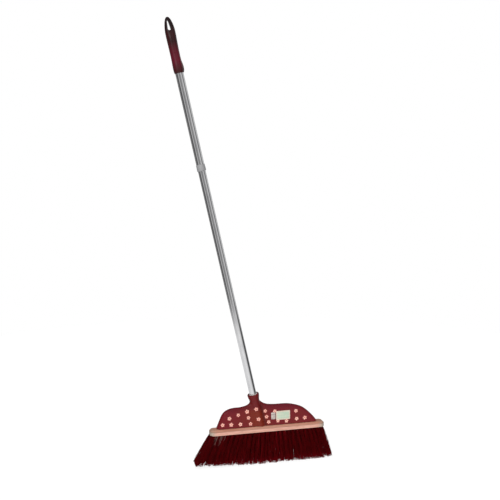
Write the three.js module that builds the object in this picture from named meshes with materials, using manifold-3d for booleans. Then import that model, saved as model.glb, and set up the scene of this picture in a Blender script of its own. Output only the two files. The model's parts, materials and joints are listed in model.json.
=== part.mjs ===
// A push broom with an angled, telescopic metal handle. Millimetres, +Z up.
// The bristle tips rest on z = 0, X runs along the wooden block and -Y is the front.
// The handle leans towards -X, and its axis meets the floor near the middle of the tips.
import * as THREE from "three";
import { mergeVertices } from "three/addons/utils/BufferGeometryUtils.js";
import Module from "manifold-3d";

const wasm = await Module();
wasm.setup();

// Driving dimensions.
const GAP = 0.3; // left between pieces that touch
const SIDES = 32; // facets round a tube

// Bristles.
const BRISTLE_LENGTH = 93;
const ROW_COUNT = 5;
const ROW_PITCH_TOP = 6.2;
const ROW_PITCH_FOOT = 9.4;
const ROW_THICKNESS_TOP = 4.4;
const ROW_THICKNESS_FOOT = 7.4;
const ROW_HALF_LENGTH = 165;
const SPLAY_LEFT = 49; // how far the left-hand edge leans out before its worn corner
const SPLAY_RIGHT = 32;
const WORN_LEFT = 17; // height of the worn corner at the left-hand end
const WORN_RIGHT = 12;
const WORN_FOOT = 8; // the left-hand tips are worn up to here from the floor
const WORN_FROM = -120; // and flat on the floor from here to the right

// Wooden block.
const BLOCK_LENGTH = 343;
const BLOCK_X = 2; // its middle
const BLOCK_DEPTH = 34;
const BLOCK_HEIGHT = 16;
const BLOCK_CORNER = 13;
const BLOCK_BEVEL = 4.5; // round the top edge
const BLOCK_BOTTOM = BRISTLE_LENGTH;
const BLOCK_TOP = BLOCK_BOTTOM + BLOCK_HEIGHT;

// Plastic cover over the block.
const COVER_BOTTOM = BLOCK_TOP + GAP;
const COVER_LEFT = -149;
const COVER_RIGHT = 150;
const COVER_TOP = 166;
const COVER_HALF_DEPTH_FOOT = 11.6;
const COVER_HALF_DEPTH_TOP = 8;
const COVER_WALL = 2.6;

// Handle axis, and stations along it measured from where it meets the floor.
const LEAN = THREE.MathUtils.degToRad(12.8);
const AXIS_X = 5;
const MOUTH_AT = 209;
const COLLAR_AT = 864;
const GRIP_AT = 1131;
const GRIP_TOP_AT = 1280;

// Socket in the cover's neck.
const MOUTH_RADIUS = 16.6;
const NECK_RADIUS = 13.9;
const SOCKET_BORE = 11.5;
const SOCKET_DEPTH = 46;
const SEAT_RADIUS = 13;
const SEAT_DEPTH = 3.4;

// Tubes.
const LOWER_OUTER = 10.45;
const TUBE_WALL = 0.4;
const RUNNING_CLEARANCE = 0.15;
const UPPER_INNER = LOWER_OUTER + RUNNING_CLEARANCE;
const UPPER_OUTER = UPPER_INNER + TUBE_WALL;
const LOWER_TUBE_FOOT = MOUTH_AT - 8;
const TUBE_OVERLAP = 115; // of the lower tube inside the upper one, fully drawn out
const UPPER_TUBE_FOOT = COLLAR_AT + 7;
const LOWER_TUBE_TOP = UPPER_TUBE_FOOT + TUBE_OVERLAP;
const UPPER_TUBE_TOP = GRIP_TOP_AT - 51;

// Threaded tip.
const THREAD_PITCH = 5;
const THREAD_TURNS = 4;
const THREAD_ROOT = 9;
const THREAD_CREST = 11;

// Screws that hold the cover on the block.
const SCREW_PLACES = [-122, -70, 50, 110];
const SCREW_SHANK = 1.9;
const SCREW_HEAD = 3.8;
const SCREW_LENGTH = 32;
const SCREW_HEAD_DEEP = 3;
const PILOT_HEIGHT = 22; // of the holes in the cover's bosses

const COLOURS = {
  maroon: { color: 0x6a1420, roughness: 0.35, metalness: 0 },
  darkMaroon: { color: 0x3c1416, roughness: 0.5, metalness: 0 },
  wood: { color: 0xcda08c, roughness: 0.7, metalness: 0 },
  bristle: { color: 0x4a0508, roughness: 0.6, metalness: 0 },
  steel: { color: 0xc8cacb, roughness: 0.2, metalness: 1 },
  zinc: { color: 0xa5a8a4, roughness: 0.4, metalness: 1 },
  grey: { color: 0xa2a2a2, roughness: 0.5, metalness: 0 },
  nylon: { color: 0xe9e8e2, roughness: 0.45, metalness: 0 },
  labelGreen: { color: 0xb9d2b9, roughness: 0.6, metalness: 0 },
  labelWhite: { color: 0xdadada, roughness: 0.6, metalness: 0 },
};

// Solids: each maker gives a closed BufferGeometry, and cut and join work on those.

function toSolid(geometry) {
  const bare = geometry.clone();
  bare.deleteAttribute("normal");
  bare.deleteAttribute("uv");
  const welded = mergeVertices(bare, 1e-4);
  return new wasm.Manifold(
    new wasm.Mesh({
      numProp: 3,
      vertProperties: new Float32Array(welded.attributes.position.array),
      triVerts: new Uint32Array(welded.index.array),
    }),
  );
}

function toGeometry(solid) {
  const mesh = solid.getMesh();
  const geometry = new THREE.BufferGeometry();
  geometry.setAttribute("position", new THREE.BufferAttribute(mesh.vertProperties, 3));
  geometry.setIndex(new THREE.BufferAttribute(mesh.triVerts, 1));
  geometry.computeVertexNormals();
  return geometry;
}

function join(...geometries) {
  return toGeometry(geometries.map(toSolid).reduce((whole, next) => whole.add(next)));
}

function cut(body, ...tools) {
  return toGeometry(tools.map(toSolid).reduce((left, tool) => left.subtract(tool), toSolid(body)));
}

// A turned piece about +Z from [radius, height] points, from axis to axis or round a ring.
function turned(points, sides = SIDES) {
  const profile = points.map(([radius, height]) => new THREE.Vector2(radius, height));
  return new THREE.LatheGeometry(profile, sides).rotateX(Math.PI / 2);
}

function rod(radius, low, high, sides = SIDES) {
  return turned([[0, low], [radius, low], [radius, high], [0, high]], sides);
}

function ring(inner, outer, low, high, sides = SIDES) {
  return turned([[inner, low], [outer, low], [outer, high], [inner, high], [inner, low]], sides);
}

// An outline in X and Z, given thickness in Y by halfDepth(z) either side of middle(z).
function slab(shape, halfDepth, middle = () => 0, curveSteps = 6) {
  const geometry = new THREE.ExtrudeGeometry(shape, {
    depth: 2,
    bevelEnabled: false,
    curveSegments: curveSteps,
  });
  geometry.translate(0, 0, -1).rotateX(Math.PI / 2);
  const at = geometry.attributes.position;
  for (let i = 0; i < at.count; i += 1) {
    const z = at.getZ(i);
    at.setY(i, middle(z) + at.getY(i) * halfDepth(z));
  }
  return geometry;
}

// A smooth closed body from stations [height, left, right, depth], each an oval about the axis.
function ovalLoft(stations, sides) {
  const positions = [];
  const faces = [];
  for (const [height, left, right, depth] of stations) {
    for (let k = 0; k < sides; k += 1) {
      const turn = (2 * Math.PI * k) / sides;
      const across = Math.cos(turn) > 0 ? right : left;
      positions.push(across * Math.cos(turn), depth * Math.sin(turn), height);
    }
  }
  const last = stations.length - 1;
  for (let j = 0; j < last; j += 1) {
    for (let k = 0; k < sides; k += 1) {
      const a = j * sides + k;
      const b = j * sides + ((k + 1) % sides);
      faces.push(a, b, b + sides, a, b + sides, a + sides);
    }
  }
  for (let k = 1; k < sides - 1; k += 1) {
    faces.push(0, k + 1, k);
    faces.push(last * sides, last * sides + k, last * sides + k + 1);
  }
  const geometry = new THREE.BufferGeometry();
  geometry.setAttribute("position", new THREE.Float32BufferAttribute(positions, 3));
  geometry.setIndex(faces);
  return geometry;
}

// The whole model, with the handle's own group along its leaning axis.
const broom = new THREE.Group();
const handle = new THREE.Group();
handle.position.x = AXIS_X;
handle.rotation.y = -LEAN;
broom.add(handle);

function place(group, name, geometry, finish) {
  const mesh = new THREE.Mesh(geometry, new THREE.MeshStandardMaterial(COLOURS[finish]));
  mesh.name = name;
  group.add(mesh);
}

// A solid in the handle's frame, moved into the broom's frame for cuts in the cover.
function alongHandle(geometry) {
  return geometry.rotateY(-LEAN).translate(AXIS_X, 0, 0);
}

// Bristle rows: fans of fibre that widen towards the floor, with a worn left-hand corner.
function rowShape(notchPlaces) {
  const top = BRISTLE_LENGTH - GAP;
  const left = -ROW_HALF_LENGTH - SPLAY_LEFT;
  const right = ROW_HALF_LENGTH + SPLAY_RIGHT;
  const shape = new THREE.Shape();
  shape.moveTo(left + 24, WORN_FOOT);
  shape.lineTo(WORN_FROM, 0);
  shape.lineTo(right - 5, 0);
  shape.lineTo(right, WORN_RIGHT);
  shape.lineTo(ROW_HALF_LENGTH, top);
  for (const x of [...notchPlaces].reverse()) {
    shape.lineTo(x + 6, top);
    shape.lineTo(x + 4.5, top - 12);
    shape.lineTo(x - 4.5, top - 12);
    shape.lineTo(x - 6, top);
  }
  shape.lineTo(-ROW_HALF_LENGTH, top);
  shape.lineTo(left, WORN_LEFT);
  shape.closePath();
  return shape;
}

function bristleRow(index) {
  const offset = index - (ROW_COUNT - 1) / 2;
  const share = (z) => 1 - z / BRISTLE_LENGTH;
  const middle = (z) => offset * (ROW_PITCH_TOP + (ROW_PITCH_FOOT - ROW_PITCH_TOP) * share(z));
  const half = (z) => (ROW_THICKNESS_TOP + (ROW_THICKNESS_FOOT - ROW_THICKNESS_TOP) * share(z)) / 2;
  return slab(rowShape(offset === 0 ? SCREW_PLACES : []), half, middle);
}

for (let i = 0; i < ROW_COUNT; i += 1) {
  place(broom, `bristle_row_${i + 1}`, bristleRow(i), "bristle");
}

// Screws: countersunk from under the block, up into the cover's bosses.
function coverScrew(x) {
  return turned([
    [0, 0],
    [SCREW_HEAD, 0],
    [SCREW_SHANK, SCREW_HEAD_DEEP],
    [SCREW_SHANK, SCREW_LENGTH - 4],
    [0, SCREW_LENGTH],
  ], 16).translate(x, 0, BLOCK_BOTTOM + 0.2);
}

SCREW_PLACES.forEach((x, i) => place(broom, `cover_screw_${i + 1}`, coverScrew(x), "zinc"));

// Wooden block: rounded in plan, with a countersunk hole for each screw.
function woodenBlock() {
  const halfLength = BLOCK_LENGTH / 2;
  const halfDepth = BLOCK_DEPTH / 2;
  const plan = new THREE.Shape();
  plan.moveTo(-halfLength + BLOCK_CORNER, -halfDepth);
  plan.lineTo(halfLength - BLOCK_CORNER, -halfDepth);
  plan.absarc(halfLength - BLOCK_CORNER, -halfDepth + BLOCK_CORNER, BLOCK_CORNER, -Math.PI / 2, 0);
  plan.absarc(halfLength - BLOCK_CORNER, halfDepth - BLOCK_CORNER, BLOCK_CORNER, 0, Math.PI / 2);
  plan.lineTo(-halfLength + BLOCK_CORNER, halfDepth);
  plan.absarc(-halfLength + BLOCK_CORNER, halfDepth - BLOCK_CORNER, BLOCK_CORNER, Math.PI / 2, Math.PI);
  plan.absarc(-halfLength + BLOCK_CORNER, -halfDepth + BLOCK_CORNER, BLOCK_CORNER, Math.PI, 3 * Math.PI / 2);
  // Extruded with the bevel at both ends, from low enough that the flat underside cuts one off.
  const tall = new THREE.ExtrudeGeometry(plan, {
    depth: BLOCK_HEIGHT,
    bevelThickness: BLOCK_BEVEL,
    bevelSize: BLOCK_BEVEL,
    bevelOffset: -BLOCK_BEVEL,
    bevelSegments: 3,
    curveSegments: 7,
  }).translate(0, 0, BLOCK_TOP - BLOCK_BEVEL - BLOCK_HEIGHT);
  const below = new THREE.BoxGeometry(BLOCK_LENGTH + 20, BLOCK_DEPTH + 20, BLOCK_HEIGHT);
  const board = cut(tall, below.translate(0, 0, BLOCK_BOTTOM - BLOCK_HEIGHT / 2)).translate(BLOCK_X, 0, 0);
  const holes = SCREW_PLACES.map((x) => turned([
    [0, -1],
    [SCREW_HEAD + GAP, -1],
    [SCREW_HEAD + GAP, 0.4],
    [SCREW_SHANK + GAP, SCREW_HEAD_DEEP + 0.4],
    [SCREW_SHANK + GAP, BLOCK_HEIGHT + 1],
    [0, BLOCK_HEIGHT + 1],
  ], 16).translate(x, 0, BLOCK_BOTTOM));
  return cut(board, ...holes);
}

place(broom, "wooden_block", woodenBlock(), "wood");

// Cover: a hollow moulded hood with rounded shoulders, swept up into the neck that holds the handle.
// The neck carries on down the front and back as a rounded ridge.
const NECK_AT = MOUTH_AT - 22;
const NECK_X = AXIS_X - Math.sin(LEAN) * NECK_AT;
const NECK_Z = Math.cos(LEAN) * NECK_AT;

function coverShape(inset) {
  const low = COVER_BOTTOM - (inset > 0 ? 2 : 0);
  const top = COVER_TOP - inset;
  const left = COVER_LEFT + inset;
  const right = COVER_RIGHT - inset;
  const neck = NECK_RADIUS - inset - 0.5;
  const shape = new THREE.Shape();
  shape.moveTo(left, low);
  shape.lineTo(right, low);
  shape.lineTo(right - 7, COVER_BOTTOM + 11);
  shape.quadraticCurveTo(right - 40, top, right - 88, top);
  shape.lineTo(NECK_X + neck + 46, top);
  shape.quadraticCurveTo(NECK_X + neck + 8, top, NECK_X + neck, NECK_Z - inset);
  shape.lineTo(NECK_X - neck, NECK_Z - inset);
  shape.quadraticCurveTo(NECK_X - neck - 4, top, NECK_X - neck - 30, top - 1);
  shape.lineTo(left + 50, top - 1);
  shape.quadraticCurveTo(left + 24, top - 1, left + 14, COVER_BOTTOM + 30);
  shape.closePath();
  return shape;
}

function coverHalfDepth(z) {
  const share = (z - COVER_BOTTOM) / (COVER_TOP - COVER_BOTTOM);
  return COVER_HALF_DEPTH_FOOT + (COVER_HALF_DEPTH_TOP - COVER_HALF_DEPTH_FOOT) * share;
}

// A screw boss with the rib that ties it to the cover's front and back walls.
function screwBoss(x, roof) {
  const boss = rod(4.6, COVER_BOTTOM, roof, 16).translate(x, 0, 0);
  const depth = 2 * coverHalfDepth(roof) - COVER_WALL;
  const rib = new THREE.BoxGeometry(2, depth, roof - COVER_BOTTOM - 4);
  rib.translate(x, 0, (roof + COVER_BOTTOM + 4) / 2);
  return join(boss, rib);
}

function headCover() {
  const below = new THREE.BoxGeometry(80, 80, 60).translate(0, 0, COVER_BOTTOM - 30);
  const neck = cut(alongHandle(turned([
    [0, 80],
    [NECK_RADIUS + 1, 80],
    [NECK_RADIUS, MOUTH_AT - 40],
    [NECK_RADIUS, MOUTH_AT - 16],
    [MOUTH_RADIUS, MOUTH_AT - 8],
    [MOUTH_RADIUS, MOUTH_AT - 1],
    [MOUTH_RADIUS - 1, MOUTH_AT],
    [0, MOUTH_AT],
  ])), below);
  const outside = join(slab(coverShape(0), coverHalfDepth), neck);
  const inside = slab(coverShape(COVER_WALL), (z) => coverHalfDepth(z) - COVER_WALL);
  const ridgeHollow = alongHandle(rod(NECK_RADIUS - COVER_WALL, 80, MOUTH_AT - SOCKET_DEPTH - 3));
  const socket = alongHandle(rod(NECK_RADIUS - 0.4, MOUTH_AT - SOCKET_DEPTH - 3, MOUTH_AT - 20));
  const bore = alongHandle(turned([
    [0, MOUTH_AT - SOCKET_DEPTH],
    [SOCKET_BORE, MOUTH_AT - SOCKET_DEPTH],
    [SOCKET_BORE, MOUTH_AT - SEAT_DEPTH],
    [SEAT_RADIUS, MOUTH_AT - SEAT_DEPTH],
    [SEAT_RADIUS, MOUTH_AT + 3],
    [0, MOUTH_AT + 3],
  ]));
  const roofs = SCREW_PLACES.map((x) => (Math.abs(x) > 100 ? 134 : 160));
  const bosses = SCREW_PLACES.map((x, i) => screwBoss(x, roofs[i]));
  const pilot = () => rod(SCREW_SHANK + GAP, COVER_BOTTOM - 1, COVER_BOTTOM + PILOT_HEIGHT, 16);
  const pilots = SCREW_PLACES.map((x) => pilot().translate(x, 0, 0));
  return cut(join(cut(outside, inside, ridgeHollow), socket, ...bosses), bore, ...pilots);
}

place(broom, "head_cover", headCover(), "maroon");

// Blank label on the cover's front: a panel and a small tag beside it.
function labelPlate(width, height, x, z) {
  const tilt = Math.atan((COVER_HALF_DEPTH_FOOT - COVER_HALF_DEPTH_TOP) / (COVER_TOP - COVER_BOTTOM));
  const plate = new THREE.BoxGeometry(width, 0.6, height);
  plate.rotateX(-tilt).translate(x, -coverHalfDepth(z) - 0.75, z);
  return plate;
}

place(broom, "label_tag", labelPlate(13, 20, 17, 137), "labelWhite");
place(broom, "label_panel", labelPlate(42, 26, 46.5, 137), "labelGreen");

// Loose ring on the tube, seated in the socket's mouth.
const socketRing = ring(LOWER_OUTER + 0.4, SEAT_RADIUS - 0.4, MOUTH_AT - 3, MOUTH_AT + 2.5);
place(handle, "socket_ring", socketRing, "nylon");

// Lower tube, with its threaded tip below and the twist lock's plug above.
const lowerTube = ring(LOWER_OUTER - TUBE_WALL, LOWER_OUTER, LOWER_TUBE_FOOT, LOWER_TUBE_TOP);
place(handle, "lower_tube", lowerTube, "steel");

function threadRidge() {
  const top = LOWER_TUBE_FOOT - 4;
  const steps = 14;
  const points = [];
  for (let i = 0; i <= THREAD_TURNS * steps; i += 1) {
    const turn = (2 * Math.PI * i) / steps;
    const z = top - THREAD_PITCH * THREAD_TURNS + (THREAD_PITCH * i) / steps;
    points.push(new THREE.Vector3(THREAD_ROOT * Math.cos(turn), THREAD_ROOT * Math.sin(turn), z));
  }
  const section = new THREE.Shape();
  const deep = THREAD_CREST - THREAD_ROOT;
  section.moveTo(0, -deep);
  section.lineTo(1.4, 0);
  section.lineTo(0, deep);
  section.lineTo(-1.4, 0);
  section.closePath();
  return new THREE.ExtrudeGeometry(section, {
    steps: THREAD_TURNS * steps,
    extrudePath: new THREE.CatmullRomCurve3(points),
  });
}

function threadTip() {
  const foot = LOWER_TUBE_FOOT - 30;
  const core = turned([
    [0, foot],
    [THREAD_ROOT - 2, foot],
    [THREAD_ROOT, foot + 3],
    [THREAD_ROOT, LOWER_TUBE_FOOT - GAP],
    [LOWER_OUTER - TUBE_WALL - GAP, LOWER_TUBE_FOOT - GAP],
    [LOWER_OUTER - TUBE_WALL - GAP, LOWER_TUBE_FOOT + 28],
    [0, LOWER_TUBE_FOOT + 28],
  ]);
  return join(core, threadRidge());
}

place(handle, "thread_tip", threadTip(), "nylon");

// Twist lock: turned with the upper tube, the split ring screws down a cone on the plug and spreads.
const CONE_FOOT = LOWER_TUBE_TOP + 3;
const CONE_HEIGHT = 9;
const CONE_WIDE = 7.4;
const CONE_NARROW = 5.6;
const STUD_RADIUS = 4;
const STUD_TOP = CONE_FOOT + 18;
const LOCK_SCREW_RADIUS = 1.5;
const PILOT_DEPTH = 13;

function lockPlug() {
  const spigot = LOWER_OUTER - TUBE_WALL - GAP;
  return turned([
    [0, LOWER_TUBE_TOP - 28],
    [spigot, LOWER_TUBE_TOP - 28],
    [spigot, LOWER_TUBE_TOP + GAP],
    [LOWER_OUTER - 0.2, LOWER_TUBE_TOP + GAP],
    [LOWER_OUTER - 0.2, CONE_FOOT],
    [CONE_WIDE, CONE_FOOT],
    [CONE_NARROW, CONE_FOOT + CONE_HEIGHT],
    [STUD_RADIUS, CONE_FOOT + CONE_HEIGHT],
    [STUD_RADIUS, STUD_TOP],
    [LOCK_SCREW_RADIUS + GAP, STUD_TOP],
    [LOCK_SCREW_RADIUS + GAP, STUD_TOP - PILOT_DEPTH],
    [0, STUD_TOP - PILOT_DEPTH],
  ]);
}

function expanderRing() {
  const low = CONE_FOOT + GAP;
  const high = STUD_TOP - GAP;
  const ledge = CONE_FOOT + CONE_HEIGHT + GAP;
  const sleeve = turned([
    [CONE_WIDE + GAP, low],
    [LOWER_OUTER, low],
    [LOWER_OUTER, high],
    [STUD_RADIUS + GAP, high],
    [STUD_RADIUS + GAP, ledge],
    [CONE_NARROW + GAP, ledge],
    [CONE_WIDE + GAP, low],
  ]);
  const split = new THREE.BoxGeometry(8, 1.4, high - low + 4);
  return cut(sleeve, split.translate(-8, 0, (low + high) / 2));
}

function lockScrew() {
  return turned([
    [0, STUD_TOP - 11],
    [LOCK_SCREW_RADIUS, STUD_TOP - 10],
    [LOCK_SCREW_RADIUS, STUD_TOP + 1.9],
    [3.4, STUD_TOP + 1.9],
    [3, STUD_TOP + 3.9],
    [0, STUD_TOP + 4.3],
  ], 16);
}

const lockWasher = ring(1.9, 6.8, STUD_TOP + GAP, STUD_TOP + GAP + 1.2, 24);
place(handle, "lock_plug", lockPlug(), "nylon");
place(handle, "lock_washer", lockWasher, "zinc");
place(handle, "lock_screw", lockScrew(), "zinc");
place(handle, "expander_ring", expanderRing(), "nylon");

// Upper tube with the collar on its open end and the grip on its top.
const upperTube = ring(UPPER_INNER, UPPER_OUTER, UPPER_TUBE_FOOT, UPPER_TUBE_TOP);
place(handle, "upper_tube", upperTube, "steel");

function collar() {
  const bore = UPPER_OUTER + 0.2;
  const lip = LOWER_OUTER + 0.3;
  return turned([
    [lip, COLLAR_AT],
    [bore + 0.8, COLLAR_AT],
    [bore + 1.2, COLLAR_AT + 1],
    [bore + 0.8, COLLAR_AT + 17],
    [bore + 0.5, COLLAR_AT + 18],
    [bore, COLLAR_AT + 18],
    [bore, UPPER_TUBE_FOOT - GAP],
    [lip, UPPER_TUBE_FOOT - GAP],
    [lip, COLLAR_AT],
  ]);
}

place(handle, "collar", collar(), "grey");

// Grip: a sleeve with a finger guard on its right below and a hanging eye above.
function grip() {
  const body = ovalLoft([
    [GRIP_AT, 12.2, 13.4, 12.2],
    [GRIP_AT + 3, 13.2, 15.2, 13.2],
    [GRIP_AT + 12, 13.8, 15.8, 13.6],
    [GRIP_AT + 21, 13.6, 15.3, 13.4],
    [GRIP_AT + 32, 13, 13.6, 12.8],
    [GRIP_AT + 49, 12.6, 12.9, 12.5],
    [GRIP_AT + 74, 12.7, 13.6, 12.7],
    [GRIP_AT + 98, 13, 14.6, 12.8],
    [GRIP_AT + 114, 12.6, 15, 9],
    [GRIP_AT + 125, 11, 14.2, 7.4],
    [GRIP_AT + 136, 8.4, 12.2, 6.6],
    [GRIP_AT + 144, 5.4, 8.4, 5.2],
    [GRIP_TOP_AT, 1.8, 3.6, 2.6],
  ], 28);
  const bore = rod(UPPER_OUTER + 0.2, GRIP_AT - 1, UPPER_TUBE_TOP + GAP);
  const eye = new THREE.Shape();
  const eyeFoot = GRIP_AT + 118;
  eye.absarc(0, eyeFoot, 4.4, Math.PI, 2 * Math.PI);
  eye.lineTo(1.9, eyeFoot + 19);
  eye.absarc(0, eyeFoot + 19, 1.9, 0, Math.PI);
  eye.closePath();
  return cut(body, bore, slab(eye, () => 30));
}

place(handle, "grip", grip(), "darkMaroon");

export default broom;
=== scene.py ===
"""A push broom: dark red bristles in a wooden block, a glossy maroon cover with a blank label,
and a leaning telescopic steel handle with a moulded grip. Metres, +Z up, -Y is the front."""
import json
import math
import random

import bmesh
import bpy
from mathutils import Matrix, Vector
from mathutils.bvhtree import BVHTree


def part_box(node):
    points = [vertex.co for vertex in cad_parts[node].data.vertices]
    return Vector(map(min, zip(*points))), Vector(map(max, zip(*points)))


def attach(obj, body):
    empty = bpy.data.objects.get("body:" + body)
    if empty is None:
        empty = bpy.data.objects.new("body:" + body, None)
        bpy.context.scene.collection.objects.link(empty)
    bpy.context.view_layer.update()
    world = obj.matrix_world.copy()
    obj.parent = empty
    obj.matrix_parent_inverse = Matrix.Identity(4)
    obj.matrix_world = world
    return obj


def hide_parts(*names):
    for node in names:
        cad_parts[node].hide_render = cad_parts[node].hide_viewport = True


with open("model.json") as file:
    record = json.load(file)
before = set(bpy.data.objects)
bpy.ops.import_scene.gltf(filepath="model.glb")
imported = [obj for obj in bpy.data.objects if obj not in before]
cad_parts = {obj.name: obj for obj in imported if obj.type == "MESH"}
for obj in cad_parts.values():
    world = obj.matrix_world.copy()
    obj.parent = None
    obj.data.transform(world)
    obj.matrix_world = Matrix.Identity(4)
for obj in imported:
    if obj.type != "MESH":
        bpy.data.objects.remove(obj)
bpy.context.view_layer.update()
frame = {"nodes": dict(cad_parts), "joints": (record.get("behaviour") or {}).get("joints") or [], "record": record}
MM = 0.001

# The handle's own frame: its axis from where it meets the floor, with Z along it.
TELESCOPE = next(j for j in frame["joints"] if j["name"] == "telescope")
UNSCREW = next(j for j in frame["joints"] if j["name"] == "handle_unscrew")
AXIS = Vector(TELESCOPE["axis"]).normalized()
LEAN = math.atan2(-AXIS.x, AXIS.z)
ON_AXIS = Vector(UNSCREW["pos_m"])
FOOT_X = ON_AXIS.x - AXIS.x * ON_AXIS.z / AXIS.z
HANDLE = Matrix.Translation((FOOT_X, 0, 0)) @ Matrix.Rotation(-LEAN, 4, "Y")


def span(node):
    """Where a CAD node starts and ends along the handle's axis, in millimetres."""
    inverse = HANDLE.inverted()
    along = [(inverse @ v.co).z for v in frame["nodes"][node].data.vertices]
    return min(along) / MM, max(along) / MM


def reach(node, of=max):
    """How far a CAD node's points are from the handle's axis, in millimetres."""
    inverse = HANDLE.inverted()
    return of((inverse @ v.co).xy.length for v in frame["nodes"][node].data.vertices) / MM


# ---------------------------------------------------------------- materials


def colour(red, green, blue):
    """A paint colour given as 0 to 255 display values."""

    def linear(value):
        value /= 255
        return value / 12.92 if value <= 0.04045 else ((value + 0.055) / 1.055) ** 2.4

    return (linear(red), linear(green), linear(blue), 1)


class Paint:
    """A node material: a Principled shader with short ways to add what feeds it."""

    def __init__(self, name, **sockets):
        self.mat = bpy.data.materials.new(name)
        self.mat.use_nodes = True
        self.tree = self.mat.node_tree
        self.shader = self.tree.nodes["Principled BSDF"]
        self.place = self.add("ShaderNodeTexCoord").outputs["Object"]
        for socket, value in sockets.items():
            self.shader.inputs[socket.replace("_", " ")].default_value = value

    def add(self, kind, inputs=(), **settings):
        node = self.tree.nodes.new(kind)
        for key, value in settings.items():
            setattr(node, key, value)
        for key, value in dict(inputs).items():
            self.feed(node.inputs[key], value)
        return node

    def feed(self, socket, value):
        if isinstance(value, bpy.types.NodeSocket):
            self.tree.links.new(value, socket)
        else:
            socket.default_value = value

    def stretched(self, scale, turn=(0, 0, 0)):
        """The place on the object, scaled differently along each axis."""
        return self.add("ShaderNodeMapping", {
            "Vector": self.place, "Scale": scale, "Rotation": turn,
        }).outputs[0]

    def noise(self, scale, detail=3, rough=0.5, where=None, distortion=0.0):
        return self.add("ShaderNodeTexNoise", {
            "Vector": where or self.place, "Scale": scale, "Detail": detail,
            "Roughness": rough, "Distortion": distortion,
        }).outputs["Fac"]

    def ramp(self, fac, *stops):
        """A colour ramp through (position, colour) stops."""
        node = self.add("ShaderNodeValToRGB", {"Fac": fac})
        marks = node.color_ramp.elements
        while len(marks) < len(stops):
            marks.new(0.5)
        for mark, (position, shade) in zip(marks, stops):
            mark.position = position
            mark.color = shade if len(tuple(shade)) == 4 else (*shade, 1)
        return node.outputs["Color"]

    def range(self, value, low, high, to_low=0.0, to_high=1.0):
        return self.add("ShaderNodeMapRange", {
            "Value": value, "From Min": low, "From Max": high, "To Min": to_low, "To Max": to_high,
        }).outputs["Result"]

    def mix(self, fac, one, two, blend="MIX"):
        node = self.add("ShaderNodeMix", data_type="RGBA", blend_type=blend)
        self.feed(node.inputs[0], fac)
        self.feed(node.inputs[6], one)
        self.feed(node.inputs[7], two)
        return node.outputs[2]

    def axis(self, letter):
        return self.add("ShaderNodeSeparateXYZ", {"Vector": self.place}).outputs[letter]

    def paint(self, value):
        self.feed(self.shader.inputs["Base Color"], value)
        return self

    def rough(self, value):
        self.feed(self.shader.inputs["Roughness"], value)
        return self

    def bump(self, height, distance, strength=1.0):
        node = self.add("ShaderNodeBump", {"Height": height, "Distance": distance, "Strength": strength})
        self.feed(self.shader.inputs["Normal"], node.outputs["Normal"])
        return self


def cover_paint():
    p = Paint("cover_plastic", Specular_IOR_Level=0.25)
    cloud = p.noise(16, 3, 0.55)
    base = p.ramp(cloud, (0.3, colour(114, 30, 22)), (0.5, colour(116, 21, 27)), (0.72, colour(116, 19, 33)))
    right_of_axis = p.add("ShaderNodeMath", {0: p.axis("Z"), 1: math.tan(LEAN), 2: p.axis("X")},
                          operation="MULTIPLY_ADD").outputs[0]
    from_axis = p.add("ShaderNodeMath", {0: right_of_axis}, operation="ABSOLUTE").outputs[0]
    middle = p.range(from_axis, 0.012, 0.045, 1, 0)
    base = p.mix(middle, base, p.mix(0.8, base, colour(122, 40, 16)))
    # Painted shade: the top of the hood and the neck above it are painted darker and more purple.
    base = p.mix(p.range(p.axis("Z"), 0.150, 0.165), base, p.mix(0.6, base, colour(98, 10, 30)))
    # Painted shade: the valley beside the ridge, below the neck, is painted darker where shade falls.
    in_valley = p.ramp(p.range(right_of_axis, 0.014, 0.026),
                       (0.0, (0, 0, 0)), (0.45, (0.9, 0.9, 0.9)), (0.62, (0.7, 0.7, 0.7)), (1.0, (0, 0, 0)))
    below_neck = p.range(p.axis("Z"), 0.168, 0.180, 1, 0)
    valley_shade = p.mix(1.0, in_valley, below_neck, "MULTIPLY")
    base = p.mix(valley_shade, base, p.mix(0.75, base, colour(66, 4, 2)))
    flecks = p.ramp(p.noise(420, 2), (0.45, (0.9, 0.9, 0.9)), (0.6, (1, 1, 1)))
    p.paint(p.mix(1.0, base, flecks, "MULTIPLY"))
    p.rough(p.range(p.noise(60, 4), 0.3, 0.7, 0.22, 0.36))
    return p.bump(p.noise(700, 2), 0.00004, 0.35).mat


def print_paint():
    p = Paint("flower_print", Specular_IOR_Level=0.3)
    island = p.add("ShaderNodeNewGeometry").outputs["Random Per Island"]
    petal = p.mix(island, colour(240, 170, 152), colour(226, 142, 130))
    p.paint(p.mix(p.range(p.noise(380, 3), 0.45, 0.62), petal, colour(248, 200, 180)))
    p.rough(p.range(p.noise(200, 2), 0.3, 0.7, 0.3, 0.42))
    return p.bump(p.noise(900, 2), 0.00003, 0.3).mat


def label_paint(name, ground, tint, edge):
    p = Paint(name, Specular_IOR_Level=0.3)
    streak = p.noise(1, 3, 0.5, p.stretched((30, 30, 160)))
    field = p.mix(p.range(streak, 0.35, 0.65), ground, tint)
    p.paint(p.mix(p.range(p.noise(150, 3), 0.5, 0.75), field, edge))
    p.rough(p.range(p.noise(120, 3), 0.3, 0.7, 0.38, 0.52))
    return p.bump(p.noise(260, 3), 0.00005, 0.4).mat


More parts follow.
